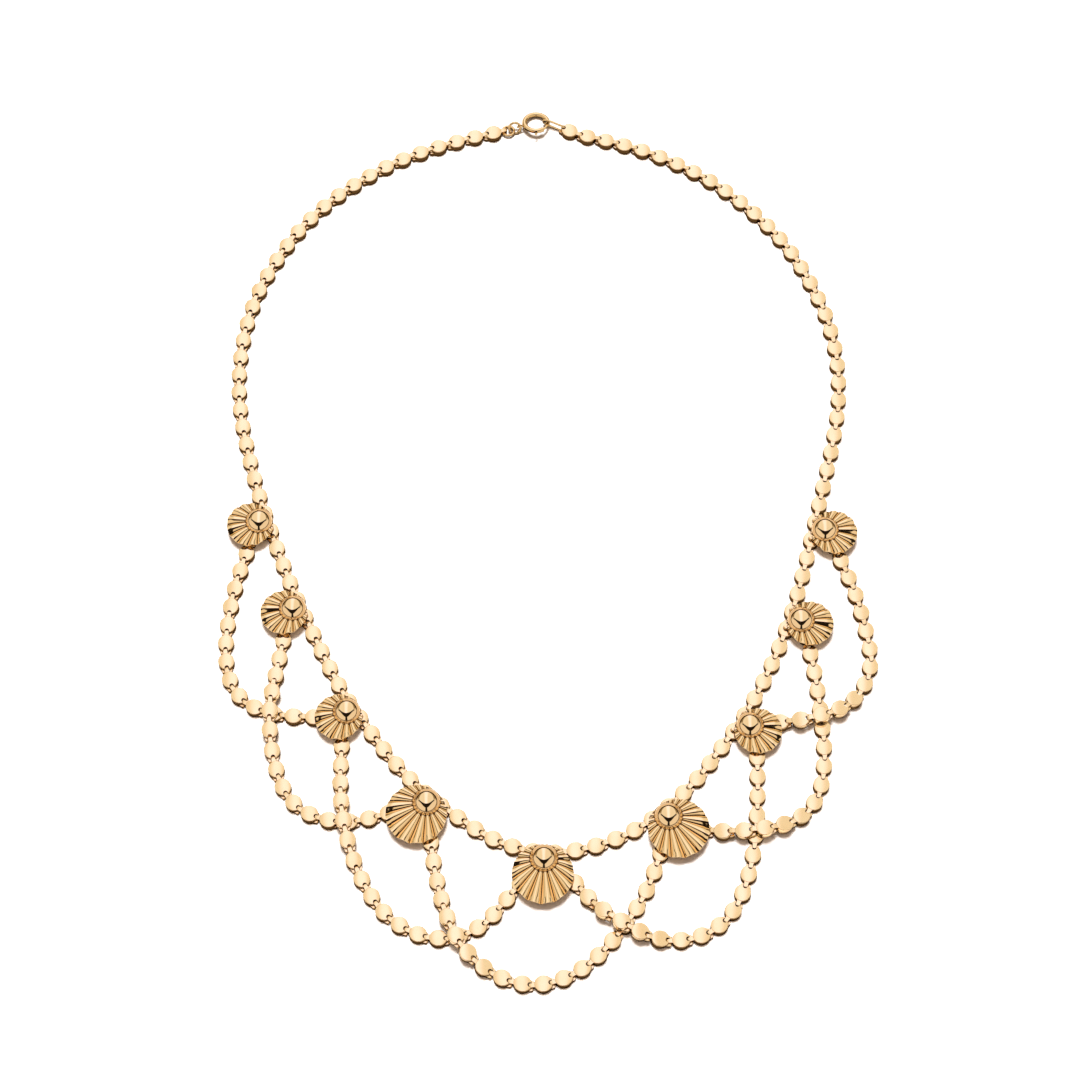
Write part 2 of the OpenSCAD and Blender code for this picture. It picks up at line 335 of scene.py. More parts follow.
class Wiring:
    """A node tree, with short ways to add and wire its nodes."""

    def __init__(self, tree: bpy.types.NodeTree) -> None:
        """Keep the tree."""
        self.tree = tree

    def feed(self, node: bpy.types.Node, feeds: dict[str | int, Feed]) -> None:
        """Fill a node's sockets.

        Args:
            node: The node.
            feeds: What each socket gets: an output, a number, a vector or a colour.
        """
        for key, value in feeds.items():
            socket = node.inputs[key]
            if isinstance(value, Socket):
                self.tree.links.new(value, socket)
            else:
                socket.default_value = (*value, 1) if socket.type == "RGBA" else value

    def add(self, kind: str, feeds: dict[str | int, Feed], **settings: object) -> bpy.types.Node:
        """Add a node.

        Args:
            kind: Its type.
            feeds: What its sockets get.
            settings: Its properties by name.

        Returns:
            The node.
        """
        node = self.tree.nodes.new(kind)
        for key, value in settings.items():
            setattr(node, key, value)
        self.feed(node, feeds)
        return node

    def math(self, operation: str, *values: Feed) -> Socket:
        """Work out a number from others.

        Args:
            operation: What is done.
            values: Outputs or numbers, in order.

        Returns:
            The result.
        """
        node = self.add("ShaderNodeMath", dict(enumerate(values)), operation=operation)
        return node.outputs["Value"]

    def mix(self, share: Socket, first: Feed, second: Feed) -> Socket:
        """Mix two colours.

        Args:
            share: The second one's share.
            first: The colour at 0.
            second: The colour at 1.

        Returns:
            The mixed colour.
        """
        feeds = {"Factor": share, "A": first, "B": second}
        return self.add("ShaderNodeMix", feeds, data_type="RGBA").outputs["Result"]

    def step(self, value: Socket, edge: tuple[float, float]) -> Socket:
        """Make a soft step from 0 to 1.

        Args:
            value: The number that is looked at.
            edge: Where the step is 0 and where it is 1.

        Returns:
            The step.
        """
        feeds = {"Value": value, "From Min": edge[0], "From Max": edge[1]}
        node = self.add("ShaderNodeMapRange", feeds, interpolation_type="SMOOTHSTEP")
        return node.outputs["Result"]


class WornGoldWithPaintedShade:
    """The node group that gives gold its clouds, fine scratches, soft ripples and painted shade in
    its creases.
    """

    NAME = "Worn Gold With Painted Shade"
    SOCKETS = (
        ("Place", "INPUT", "Vector"), ("Tint", "INPUT", "Color"), ("Warm Tint", "INPUT", "Color"),
        ("Polish", "INPUT", "Float"), ("Polish Spread", "INPUT", "Float"),
        ("Cloud Scale", "INPUT", "Float"), ("Scratch Scale", "INPUT", "Float"),
        ("Painted Shade Reach", "INPUT", "Float"), ("Painted Shade Tint", "INPUT", "Color"),
        ("Color", "OUTPUT", "Color"), ("Roughness", "OUTPUT", "Float"),
        ("Height", "OUTPUT", "Float"),
    )
    CLOUD_DETAIL = 3.0
    SCRATCH_DETAIL = 4.0
    SCRATCH_TURN = (0.0, 0.0, 0.6)
    SCRATCH_STRETCH = (1.0, 0.08, 0.3)
    SCRATCH_DEPTH = 0.25
    SHADE_RAYS = 8
    PAINTED_SHADE_EDGE = (0.64, 0.92)

    @classmethod
    def group(cls) -> bpy.types.NodeTree:
        """Build the group once.

        Returns:
            The node group.
        """
        if cls.NAME in bpy.data.node_groups:
            return bpy.data.node_groups[cls.NAME]
        tree = bpy.data.node_groups.new(cls.NAME, "ShaderNodeTree")
        for name, way, kind in cls.SOCKETS:
            tree.interface.new_socket(name, in_out=way, socket_type=f"NodeSocket{kind}")
        wiring = Wiring(tree)
        given = wiring.add("NodeGroupInput", {}).outputs
        clouds = cls._noise(wiring, given["Place"], given["Cloud Scale"], cls.CLOUD_DETAIL)
        stretch = wiring.add(
            "ShaderNodeMapping",
            {"Vector": given["Place"], "Rotation": cls.SCRATCH_TURN, "Scale": cls.SCRATCH_STRETCH},
        )
        along = stretch.outputs["Vector"]
        scratches = cls._noise(wiring, along, given["Scratch Scale"], cls.SCRATCH_DETAIL)
        tone = wiring.mix(clouds, given["Tint"], given["Warm Tint"])
        # Painted shade: ambient occlusion darkens the colour toward the dark shade tint in creases
        # and between parts.
        reach = {"Distance": given["Painted Shade Reach"]}
        occlusion = wiring.add("ShaderNodeAmbientOcclusion", reach, samples=cls.SHADE_RAYS)
        unshaded_share = wiring.step(occlusion.outputs["AO"], cls.PAINTED_SHADE_EDGE)
        marks = wiring.math("MULTIPLY", clouds, scratches)
        wiring.add("NodeGroupOutput", {
            "Color": wiring.mix(unshaded_share, given["Painted Shade Tint"], tone),
            "Roughness": wiring.math(
                "MULTIPLY_ADD", marks, given["Polish Spread"], given["Polish"]
            ),
            "Height": wiring.math("MULTIPLY_ADD", scratches, cls.SCRATCH_DEPTH, clouds),
        })
        return tree

    @staticmethod
    def _noise(wiring: Wiring, place: Socket, scale: Socket, detail: float) -> Socket:
        """Add a noise.

        Args:
            wiring: The group's nodes.
            place: Where it is looked up.
            scale: Its scale.
            detail: Its number of octaves.

        Returns:
            Its value.
        """
        feeds = {"Vector": place, "Scale": scale, "Detail": detail}
        return wiring.add("ShaderNodeTexNoise", feeds).outputs["Fac"]


@dataclass(frozen=True)
class GoldFinish:
    """A gold: its colour, its polish, the marks of handling and painted shade in its creases."""

    name: str
    tint: Triple
    warm_tint: Triple
    polish: float
    polish_spread: float
    cloud_scale: float
    scratch_scale: float
    ripple: float
    # Painted shade: how far the occlusion looks, and the dark tint that it paints into creases.
    painted_shade_reach: float = 0.3e-3
    painted_shade_tint: Triple = (0.12, 0.05, 0.015)

    def material(self) -> bpy.types.Material:
        """Make the material, or find it.

        Returns:
            The node material.
        """
        known = bpy.data.materials.get(self.name)
        if known:
            return known
        material = bpy.data.materials.new(self.name)
        material.use_nodes = True
        wiring = Wiring(material.node_tree)
        feeds = {
            "Place": wiring.add("ShaderNodeTexCoord", {}).outputs["Object"],
            "Tint": self.tint,
            "Warm Tint": self.warm_tint,
            "Polish": self.polish,
            "Polish Spread": self.polish_spread,
            "Cloud Scale": self.cloud_scale,
            "Scratch Scale": self.scratch_scale,
            "Painted Shade Reach": self.painted_shade_reach,
            "Painted Shade Tint": self.painted_shade_tint,
        }
        marks = wiring.add("ShaderNodeGroup", feeds, node_tree=WornGoldWithPaintedShade.group()).outputs
        bump = wiring.add(
            "ShaderNodeBump", {"Strength": 1.0, "Distance": self.ripple, "Height": marks["Height"]}
        )
        wiring.feed(material.node_tree.nodes["Principled BSDF"], {
            "Metallic": 1.0,
            "Base Color": marks["Color"],
            "Roughness": marks["Roughness"],
            "Normal": bump.outputs["Normal"],
        })
        return material

    def dress(self, piece: Piece) -> None:
        """Give a piece this finish alone.

        Args:
            piece: The piece.
        """
        piece.data.materials.clear()
        piece.data.materials.append(self.material())


PLATE_GOLD = GoldFinish(
    "plate_gold", (0.97, 0.78, 0.5), (0.95, 0.68, 0.37), 0.08, 0.2, 300, 1400, 4e-6
)
PLEAT_GOLD = GoldFinish(
    "pleat_gold", (0.95, 0.73, 0.43), (0.92, 0.66, 0.34), 0.04, 0.1, 320, 1600, 3e-6
)
BALL_GOLD = GoldFinish(
    "ball_gold", (0.95, 0.73, 0.45), (0.94, 0.70, 0.41), 0.02, 0.06, 200, 1500, 1e-6
)
WIRE_GOLD = GoldFinish(
    "wire_gold", (0.94, 0.72, 0.4), (0.9, 0.63, 0.3), 0.03, 0.1, 300, 1500, 2e-6
)


@dataclass
class LinkPlace:
    """Where one link lies: its rear hinge, its directions and its reach to its own bar."""

    hinge: Vector
    ahead: Vector
    up: Vector
    reach: float

    @property
    def bar(self) -> Vector:
        """The middle of the link's own bar."""
        return self.hinge + self.ahead * self.reach

    def matrix(self) -> Matrix:
        """The place of a pattern in millimetres whose underside is at z = 0."""
        side = self.up.cross(self.ahead).normalized()
        low = self.hinge - self.up * CupLink.bar_z * MM
        return placed(low, (self.ahead, side, self.up))


class FrameReader:
    """Reads places out of the frame's solids."""

    WELD = 2e-7
    SAME_WAY = 0.9995
    UPWARD = 0.8
    UPRIGHT = 0.05
    WIDEST = 0.97

    def __init__(self, nodes: dict[str, Piece]) -> None:
        """Keep the frame's nodes.

        Args:
            nodes: The nodes by name.
        """
        self.nodes = nodes

    @staticmethod
    def faces(mesh: bpy.types.Mesh) -> tuple[np.ndarray, np.ndarray, np.ndarray]:
        """Read a mesh's faces.

        Args:
            mesh: The mesh.

        Returns:
            The faces' normals, areas and middles.
        """
        count = len(mesh.polygons)
        normals, middles = np.zeros(count * 3), np.zeros(count * 3)
        areas = np.zeros(count)
        mesh.polygons.foreach_get("normal", normals)
        mesh.polygons.foreach_get("center", middles)
        mesh.polygons.foreach_get("area", areas)
        return normals.reshape(-1, 3), areas, middles.reshape(-1, 3)

    @staticmethod
    def points(mesh: bpy.types.Mesh) -> np.ndarray:
        """Read a mesh's points.

        Args:
            mesh: The mesh.

        Returns:
            One row for each point.
        """
        flat = np.zeros(len(mesh.vertices) * 3)
        mesh.vertices.foreach_get("co", flat)
        return flat.reshape(-1, 3)

    @staticmethod
    def main_direction(normals: np.ndarray, areas: np.ndarray, both_ways: bool) -> np.ndarray:
        """Find the direction that the largest area of flat faces shares.

        Args:
            normals: The faces' normals.
            areas: The faces' areas.
            both_ways: Whether a face that looks the opposite way counts too.

        Returns:
            The unit direction.
        """
        same = normals @ normals.T
        if both_ways:
            same = np.abs(same)
        near = same > FrameReader.SAME_WAY
        best = int((near * areas).sum(axis=1).argmax())
        signs = np.sign(normals @ normals[best])
        chosen = near[best]
        direction = (normals[chosen] * (signs * areas)[chosen, None]).sum(axis=0)
        return direction / np.linalg.norm(direction)

    def solids(self, node: Piece) -> list[Piece]:
        """Part a merged copy of a node into its loose solids.

        Args:
            node: The frame's node, which stays as it is.

        Returns:
            One temporary object for each solid.
        """
        twin = laid(node, IN_PLACE)
        twin.parent = None
        with Bench(twin) as bench:
            bench.everything()
            bpy.ops.mesh.remove_doubles(threshold=self.WELD)
            bpy.ops.mesh.separate(type="LOOSE")
        return list(bpy.context.selected_objects)

    def link(self, solid: Piece) -> LinkPlace:
        """Measure where a link lies.

        Args:
            solid: The link's solid.

        Returns:
            Its place.
        """
        normals, areas, _ = self.faces(solid.data)
        points = self.points(solid.data)
        upward = normals[:, 2] > self.UPWARD
        up = self.main_direction(normals[upward], areas[upward], both_ways=False)
        upright = np.abs(normals @ up) < self.UPRIGHT
        side = self.main_direction(normals[upright], areas[upright], both_ways=True)
        ahead = np.cross(side, up)
        along, across = points @ ahead, points @ side
        middle = (across.max() + across.min()) / 2
        wide = np.abs(across - middle) > self.WIDEST * (across.max() - middle)
        disc = along[wide].mean()
        if disc - along.min() < along.max() - disc:
            ahead, side = -ahead, -side
            along, middle = -along, -middle
        low = along.min() + CupLink.curl_r * MM
        top = (points @ up).max() - (CupLink.height - CupLink.bar_z) * MM
        hinge = ahead * low + side * middle + up * top
        reach = along.max() - CupLink.leg_past_bar * MM - low
        return LinkPlace(Vector(hinge), Vector(ahead), Vector(up), float(reach))

    def side_near(self, mesh: bpy.types.Mesh, spot: Vector, within: float) -> Vector:
        """Find the way across of the link whose hinge lies at a spot of a fused mesh.

        Args:
            mesh: The fused mesh.
            spot: The hinge's middle.
            within: How far from it the link's faces are looked for.

        Returns:
            The unit direction across the link.
        """
        normals, areas, middles = self.faces(mesh)
        near = np.linalg.norm(middles - np.array(spot), axis=1) < within
        near &= np.abs(normals[:, 2]) < self.UPRIGHT
        return Vector(self.main_direction(normals[near], areas[near], both_ways=True))


@dataclass
class CupLink:
    """One link: a hollow cup with a polished plate, a bar in front and a curled tongue behind.

    The tongue's rows give a place along the link, a height and half a width.
    """

    disc_x: float = 2.05
    radius: float = 1.56
    length_share: float = 1.09
    height: float = 1.6
    plate: float = 0.3
    wall: float = 0.32
    sides: int = 24
    bore_sides: int = 14
    rim_round: float = 0.1
    rim_degrees: Triple = (30.0, 60.0, 90.0)
    dome: float = 0.1
    dome_r: float = 0.8
    dome_share: float = 0.67
    bar_z: float = 0.7
    bar_r: float = 0.14
    bar_sides: int = 12
    reach: float = 3.95
    horn_x: float = 3.8
    notch_r: float = 0.44
    notch_x: float = 3.4
    slot_x: float = 3.0
    slot_half: float = 0.55
    leg_half: float = 0.86
    leg_top: float = 0.9
    leg_low: float = 0.1
    leg_root: float = 1.3
    leg_root_x: float = 2.6
    leg_past_bar: float = 0.25
    leg_chamfer: float = 0.14
    curl_r: float = 0.5
    sheet: float = 0.14
    tongue_root: float = 0.2
    beyond: float = 1.0
    close: float = 0.1

    TONGUE = (
        (0.95, 1.5, 0.72), (0.62, 1.5, 0.62), (0.36, 1.48, 0.42), (0.0, 1.46, 0.37),
        (-0.42, 1.44, 0.37), (-0.68, 1.38, 0.36), (-0.81, 1.22, 0.34), (-0.82, 0.92, 0.34),
        (-0.7, 0.57, 0.36), (-0.44, 0.36, 0.36), (-0.05, 0.28, 0.36), (0.32, 0.42, 0.36),
    )

    def pattern(self) -> Piece:
        """Model the link in millimetres, with its rear hinge over the origin.

        Returns:
            The finished pattern.
        """
        cup = self._cup()
        self._hollow(cup)
        low, length = (self.reach, -self.leg_half, self.bar_z), 2 * self.leg_half
        carve(cup, drum("bar", self.bar_r, low, length, self.bar_sides, lying=True), "UNION")
        link = joined([cup, self._tongue()], "link_pattern")
        smooth(link, CRISP_DEGREES)
        PLATE_GOLD.dress(link)
        return link

    def _cup(self) -> Piece:
        """Model the cup's outer form.

        Returns:
            A drum a little longer than wide, with a rounded rim and a faint dome.
        """
        rim = self.rim_round
        middle = (self.disc_x, 0, 0)
        cup = drum("cup", self.radius, middle, self.height - rim, self.sides)
        with Bench(cup) as bench:
            bench.everything()
            bench.stretch((self.length_share, 1, 1), middle)
            bench.faces(lambda at: at.z > self.height - rim - self.close)
            at_r, at_z = self.radius, 0.0
            profile = [
                (self.radius - rim * (1 - math.cos(turn)), rim * math.sin(turn))
                for turn in map(math.radians, self.rim_degrees)
            ]
            for next_r, next_z in (*profile, (self.dome_r, rim + self.dome_share * self.dome)):
                bench.pull(z=next_z - at_z)
                bench.stretch((next_r / at_r, next_r / at_r, 1), middle)
                at_r, at_z = next_r, next_z
            bpy.ops.mesh.poke(offset=(1 - self.dome_share) * self.dome)
        return cup

    def _hollow(self, cup: Piece) -> None:
        """Add the legs, and cut the hollow, the slot between the legs and the notch.

        Args:
            cup: The cup's outer form.
        """
        far = self.reach + self.leg_past_bar
        root_x, beyond = self.leg_root_x, self.beyond
        legs = block(
            "legs", (root_x, -self.leg_half, self.leg_low), (far, self.leg_half, self.leg_top)
        )
        with Bench(legs) as bench:
            bench.points(lambda at: at.x < root_x + self.close)
            bench.stretch((1, self.leg_root / self.leg_half, 1), (root_x, 0, 0))
            bench.points(lambda at: at.x > root_x + self.close)
            bpy.ops.mesh.bevel(offset=self.leg_chamfer, segments=1)
        carve(cup, legs, "UNION")
        inner = self.height - self.plate
        low = (self.disc_x, 0, -beyond)
        carve(cup, drum("bore", self.radius - self.wall, low, beyond + inner, self.bore_sides))
        low = (self.slot_x, -self.slot_half, -beyond)
        carve(cup, block("slot", low, (far + beyond, self.slot_half, inner)))
        low = (self.notch_x, 0, -beyond)
        notch = drum("notch", self.notch_r, low, self.height + 2 * beyond, self.bore_sides)
        with Bench(notch) as bench:
            bench.points(lambda at: at.x > self.notch_x + self.close)
            bench.move(x=beyond)
        carve(cup, notch)

    def _tongue(self) -> Piece:
        """Model the tongue.

        Returns:
            A strip from the plate that turns down and under round the next bar.
        """
        (at_x, at_z, half), *rest = self.TONGUE
        root = self.tongue_root
        bpy.ops.mesh.primitive_plane_add(size=root, location=(at_x + root / 2, 0, at_z))
        strip = fresh("tongue")
        with Bench(strip) as bench:
            bench.everything()
            bench.stretch((1, 2 * half / root, 1), (at_x, 0, at_z))
            bench.points(lambda at: at.x < at_x + root / 4)
            for next_x, next_z, next_half in rest:
                bench.pull(x=next_x - at_x, z=next_z - at_z)
                bench.stretch((1, next_half / half, 1), (next_x, 0, next_z))
                at_x, at_z, half = next_x, next_z, next_half
        apply_modifier(strip, "SOLIDIFY", thickness=self.sheet, offset=0)
        return strip

    def lay(self, pattern: Piece, place: LinkPlace, tilt: Matrix) -> Piece:
        """Lay one link.

        Args:
            pattern: The link's pattern.
            place: Where it goes.
            tilt: A slight turn about its own hinge.

        Returns:
            The laid link.
        """
        link = laid(pattern, IN_PLACE)
        with Bench(link) as bench:
            bench.points(lambda at: at.x > self.horn_x)
            bench.move(x=place.reach / MM - self.reach)
        link.data.transform(place.matrix() @ tilt)
        return link


@dataclass
class Strand:
    """A run of loose links that stands for one node of the frame."""

    node: str
    link: CupLink
    tilt_degrees: float = 2.0
    flattened: float = 0.4
    places: list[LinkPlace] = field(default_factory=list)

    def measure(self, reader: FrameReader) -> None:
        """Read the links' places.

        Args:
            reader: Reads the frame.
        """
        for solid in reader.solids(reader.nodes[self.node]):
            self.places.append(reader.link(solid))
            discard(solid)

    def build(self, pattern: Piece, dice: random.Random) -> None:
        """Lay the links, join them and seat the strand.

        Args:
            pattern: The link's pattern.
            dice: Seeded, for the links' slight tilts.
        """
        hinge = Vector((0, 0, self.link.bar_z))
        middle = Vector((self.link.disc_x, 0, self.link.bar_z))
        laid_links = []
        for place in sorted(self.places, key=lambda p: (p.hinge.x, p.hinge.y)):
            roll = math.radians(dice.uniform(-self.tilt_degrees, self.tilt_degrees))
            nod = math.radians(dice.uniform(-self.tilt_degrees, self.tilt_degrees) / 2)
            turn = Matrix.Rotation(roll, 4, "X") @ Matrix.Rotation(nod, 4, "Y")
            tilt = Matrix.Translation(hinge) @ turn @ Matrix.Translation(-hinge)
            level = Matrix.Rotation(self.flattened * math.asin(place.ahead.z), 4, "Y")
            tilt = Matrix.Translation(middle) @ level @ Matrix.Translation(-middle) @ tilt
            laid_links.append(self.link.lay(pattern, place, tilt))
        strand = joined(laid_links, f"{self.node}_links")
        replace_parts(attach(strand, HOLDER), self.node)
        LOG.info("%s: %d links", strand.name, len(self.places))


class Festoonery:
    """All strands together, and the ends that the rosettes hold."""

    FESTOONS = 7
    STRANDS = (
        "neck_chain_left", "neck_chain_right", "front_chain_left", "front_chain_right",
        *(f"festoon_{number}" for number in range(1, FESTOONS + 1)),
    )
    APART = 1.0 * MM
    DICE_SEED = 7

    def __init__(self, reader: FrameReader) -> None:
        """Measure every strand.

        Args:
            reader: Reads the frame.
        """
        self.link = CupLink()
        self.strands = [Strand(name, self.link) for name in self.STRANDS]
        for strand in self.strands:
            strand.measure(reader)

    def loose_ends(self, main: bool) -> tuple[list[LinkPlace], list[LinkPlace]]:
        """Find the links with no neighbour behind or ahead.

        Args:
            main: Whether the main chain is asked for, or the festoons.

        Returns:
            The links that start a run, and the links that end one.
        """
        starts, ends = [], []
        for strand in self.strands:
            if strand.node.startswith("festoon") == main:
                continue
            for place in strand.places:
                if all((place.hinge - other.bar).length > self.APART for other in strand.places):
                    starts.append(place)
                if all((place.bar - other.hinge).length > self.APART for other in strand.places):
                    ends.append(place)
        return starts, ends

    def build(self, pattern: Piece) -> None:
        """Lay every strand.

        Args:
            pattern: The link's pattern.
        """
        dice = random.Random(self.DICE_SEED)
        for strand in self.strands:
            strand.build(pattern, dice)


@dataclass(frozen=True)
class RosetteSize:
    """The sizes of one size of rosette, in millimetres."""

    radius: float
    ecc: float
    ball_r: float
    ball_half_height: float
    ball_z: float
    rim_z: float
    pleats: int
    pleat_h: float
    shift: tuple[float, float]

    @property
    def throw(self) -> float:
        """How far from the ball's axis the rim reaches."""
        return self.radius + self.ecc


class Rosette:
    """A pleated plate with a polished ball, soldered over the links of the chain."""

    SMALL = RosetteSize(4.55, 1.85, 2.72, 2.5, 2.35, 2.25, 17, 0.74, (0.3, 0.1))
    LARGE = RosetteSize(5.8, 3.0, 2.78, 2.7, 2.35, 2.35, 20, 0.88, (0.2, 0.35))
    hub_z = 2.95
    hub_out = 2.0
    bore = 1.2
    thick = 0.24
    samples = 12
    rings = 22
    spare = 0.3
    bow = 0.25
    rim_sides = 120
    rim_band = 0.02
    rim_fall = 0.16
    rim_fall_width = 1.1
    trim_low = -2.0
    trim_height = 9.0
    ball_sides = 56
    ball_rings = 32
    ball_foot = 0.5
    pitch = 4.0
    post_r = 0.45
    post_height = 1.15
    post_flare = 1.25
    post_sides = 16

    def __init__(self, size: RosetteSize) -> None:
        """Model the plate and the ball of one size.

        Args:
            size: The sizes.
        """
        self.size = size
        self.plate = self._plate()
        self.ball = self._ball()

    def _plate(self) -> Piece:
        """Model the pleated plate.

        Returns:
            The plate, with the ball's axis over the origin and outward along -Y.
        """
        size = self.size
        far = size.throw + self.spare
        slope = (self.hub_z - size.rim_z - self.bow) / size.throw
        rise = size.pleat_h * self.bore / size.throw
        count = size.pleats * self.samples
        apex = (0, 0, self.hub_z)
        bpy.ops.mesh.primitive_circle_add(vertices=count, radius=self.bore, location=apex)
        fan = fresh("plate")
        with Bench(fan) as bench:
            for step in range(self.samples):

                def on_step(at: Vector, step: int = step) -> bool:
                    turn = math.atan2(at.y, at.x) / math.tau * count
                    return round(turn) % self.samples == step

                bench.points(on_step)
                bench.move(z=rise * math.sin(math.pi * step / self.samples) - slope * self.bore)
            bench.everything()
            at_r, at_bow = self.bore, 0.0
            for ring in range(1, self.rings + 1):
                next_r = self.bore + (far - self.bore) * ring / self.rings
                next_bow = -self.bow * (next_r / far) ** 3
                grown = next_r / at_r
                bench.pull()
                bench.stretch((grown, grown, grown), apex)
                bench.move(z=next_bow - at_bow * grown)
                at_r, at_bow = next_r, next_bow
        faces_up = sum(face.normal.z * face.area for face in fan.data.polygons) > 0
        apply_modifier(fan, "SOLIDIFY", thickness=self.thick, offset=-1 if faces_up else 1)
        low = (0, -size.ecc, self.trim_low)
        outline = drum("outline", size.radius, low, self.trim_height, self.rim_sides)
        carve(fan, outline, "INTERSECT")
        rim = size.radius - self.rim_band
        with Bench(fan) as bench:
            bench.points(lambda at: math.hypot(at.x, at.y + size.ecc) > rim)
            bpy.ops.transform.translate(
                value=(0, 0, -self.rim_fall),
                use_proportional_edit=True,
                proportional_edit_falloff="SMOOTH",
                proportional_size=self.rim_fall_width,
            )
        smooth(fan, ROUND_DEGREES)
        PLEAT_GOLD.dress(fan)
        return fan

    def _ball(self) -> Piece:
        """Model the ball.

        Returns:
            A dome whose foot goes into the pleats.
        """
        size = self.size
        middle = (0, 0, size.ball_z)
        bpy.ops.mesh.primitive_uv_sphere_add(
            segments=self.ball_sides,
            ring_count=self.ball_rings,
            radius=size.ball_r,
            location=middle,
        )
        ball = fresh("ball")
        with Bench(ball) as bench:
            bench.everything()
            bench.stretch((1, 1, size.ball_half_height / size.ball_r), middle)
            bpy.ops.mesh.bisect(
                plane_co=(0, 0, size.ball_z - self.ball_foot),
                plane_no=(0, 0, 1),
                clear_inner=True,
                use_fill=True,
            )
        smooth(ball, CRISP_DEGREES)
        BALL_GOLD.dress(ball)
        return ball

    def post(self) -> Piece:
        """Model the post that solders a link to the plate.

        Returns:
            The post, from the link's plate up.
        """
        post = drum("post", self.post_r, (0, 0, 0), self.post_height, self.post_sides)
        with Bench(post) as bench:
            bench.faces(lambda at: at.z < self.post_height / 4)
            bench.stretch((self.post_flare, self.post_flare, 1), (0, 0, 0))
        smooth(post, CRISP_DEGREES)
        PLATE_GOLD.dress(post)
        return post


class RosetteRow:
    """The nine rosettes of the front."""

    COUNT = 9
    LARGE_FROM = 5.1 * MM
    PEAK = 1e-6
    SIDE_REACH = 1.0 * MM
    SUNK = 0.02

    def __init__(self, reader: FrameReader, chains: Festoonery, pattern: Piece) -> None:
        """Find the hubs and the links that meet there, and model the patterns.

        Args:
            reader: Reads the frame.
            chains: The measured strands.
            pattern: The link's pattern.
        """
        self.reader, self.link, self.pattern = reader, chains.link, pattern
        self.starts, self.ends = chains.loose_ends(main=True)
        self.stub_ends = chains.loose_ends(main=False)
        self.small, self.large = Rosette(Rosette.SMALL), Rosette(Rosette.LARGE)
        self.post = self.small.post()
        self.hubs = {number: self._hub(number) for number in range(1, self.COUNT + 1)}

    def build(self) -> None:
        """Build every rosette, then put the patterns away."""
        for number in self.hubs:
            self._one(number)
        for kind in (self.small, self.large):
            discard(kind.plate)
            discard(kind.ball)
        discard(self.post)

    def _hub(self, number: int) -> Vector:
        """Find the top of a rosette's ball.

        Args:
            number: The rosette's number.

        Returns:
            Its place.
        """
        points = self.reader.points(self.reader.nodes[f"rosette_{number}"].data)
        return Vector(points[points[:, 2] > points[:, 2].max() - self.PEAK].mean(axis=0))

    def _stubs(self, number: int) -> list[LinkPlace]:
        """Place the festoons' end links that a rosette holds.

        Args:
            number: The rosette's number.

        Returns:
            Their places.
        """
        mesh = self.reader.nodes[f"rosette_{number}"].data
        reach = Rosette.pitch * MM
        stubs = []
        for leaving, places in zip((True, False), self.stub_ends):
            for place in places:
                spot = place.hinge if leaving else place.bar
                if nearest(self.hubs.values(), spot) != self.hubs[number]:
                    continue
                across = self.reader.side_near(mesh, spot, self.SIDE_REACH)
                along = Vector((across.y, -across.x, 0)).normalized()
                if along.dot(place.ahead) < 0:
                    along = -along
                stubs.append(LinkPlace(spot - along * reach if leaving else spot, along, UP, reach))
        return stubs

    def _one(self, number: int) -> None:
        """Build one rosette with the links that are soldered under it.

        Args:
            number: The rosette's number.
        """
        node, hub = f"rosette_{number}", self.hubs[number]
        kind = self.large if hub.z > self.LARGE_FROM else self.small
        before = nearest((place.bar for place in self.ends), hub)
        after = nearest((place.hinge for place in self.starts), hub)
        ahead = Vector((*(after - before).xy, 0)).normalized()
        outward = Vector((ahead.y, -ahead.x, 0))
        mid = Vector((hub.x, hub.y, before.z)) - outward * kind.hub_out * MM
        places = [
            LinkPlace(start, (end - start).normalized(), UP, (end - start).length)
            for start, end in ((before, mid), (mid, after))
        ]
        places += self._stubs(number)
        under = [self.link.lay(self.pattern, place, IN_PLACE) for place in places]
        for place in places:
            top = place.hinge + place.ahead * self.link.disc_x * MM
            foot = Vector((top.x, top.y, (self.link.height - self.SUNK) * MM))
            under.append(laid(self.post, Matrix.Translation(foot) @ Matrix.Scale(MM, 4)))
        seat = hub.xy + Vector(kind.size.shift) * MM
        spot = placed(Vector((*seat, 0)), (ahead, -outward, UP))
        pieces = (
            joined(under, f"{node}_links"),
            joined([laid(kind.plate, spot)], f"{node}_plate"),
            joined([laid(kind.ball, spot)], f"{node}_ball"),
        )
        for piece in pieces:
            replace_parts(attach(piece, HOLDER), node)
        LOG.info("rosette %d: %d soldered links", number, len(places))


def nearest(spots: Iterable[Vector], target: Vector) -> Vector:
    """Find the spot that is nearest to a target, seen from above.

    Args:
        spots: The spots to choose from.
        target: The place that they are compared with.

    Returns:
        The nearest one.
    """
    return min(spots, key=lambda spot: (spot.xy - target.xy).length)


@dataclass
class WireRing:
    """A ring of round wire with a cut seam, placed on a torus of the frame."""

    node: str
    swell: float = 1.45
    seam_degrees: float = 1.6
    steps: int = 56
    sides: int = 14

    def build(self, reader: FrameReader) -> None:
        """Spin the ring and dress it.

        Args:
            reader: Reads the frame.
        """
        points = reader.points(reader.nodes[self.node].data)
        middle = (points.max(axis=0) + points.min(axis=0)) / 2
        spread = np.linalg.svd(points - middle, full_matrices=False)[2]
        axis = Vector(spread[2])
        lift = (points - middle) @ spread[2]
        out = np.linalg.norm((points - middle) - lift[:, None] * spread[2], axis=1)
        wire = (lift.max() - lift.min()) / 2
        radius = out.max() - wire
        sweep = math.tau - math.radians(self.seam_degrees)
        ring = spun_wire(radius / MM, wire * self.swell / MM, sweep, self.steps, self.sides)
        turn = axis.to_track_quat("Z", "Y").to_matrix().to_4x4()
        ring.data.transform(Matrix.Translation(Vector(middle)) @ turn @ Matrix.Scale(MM, 4))
        finish_clasp(ring, self.node)


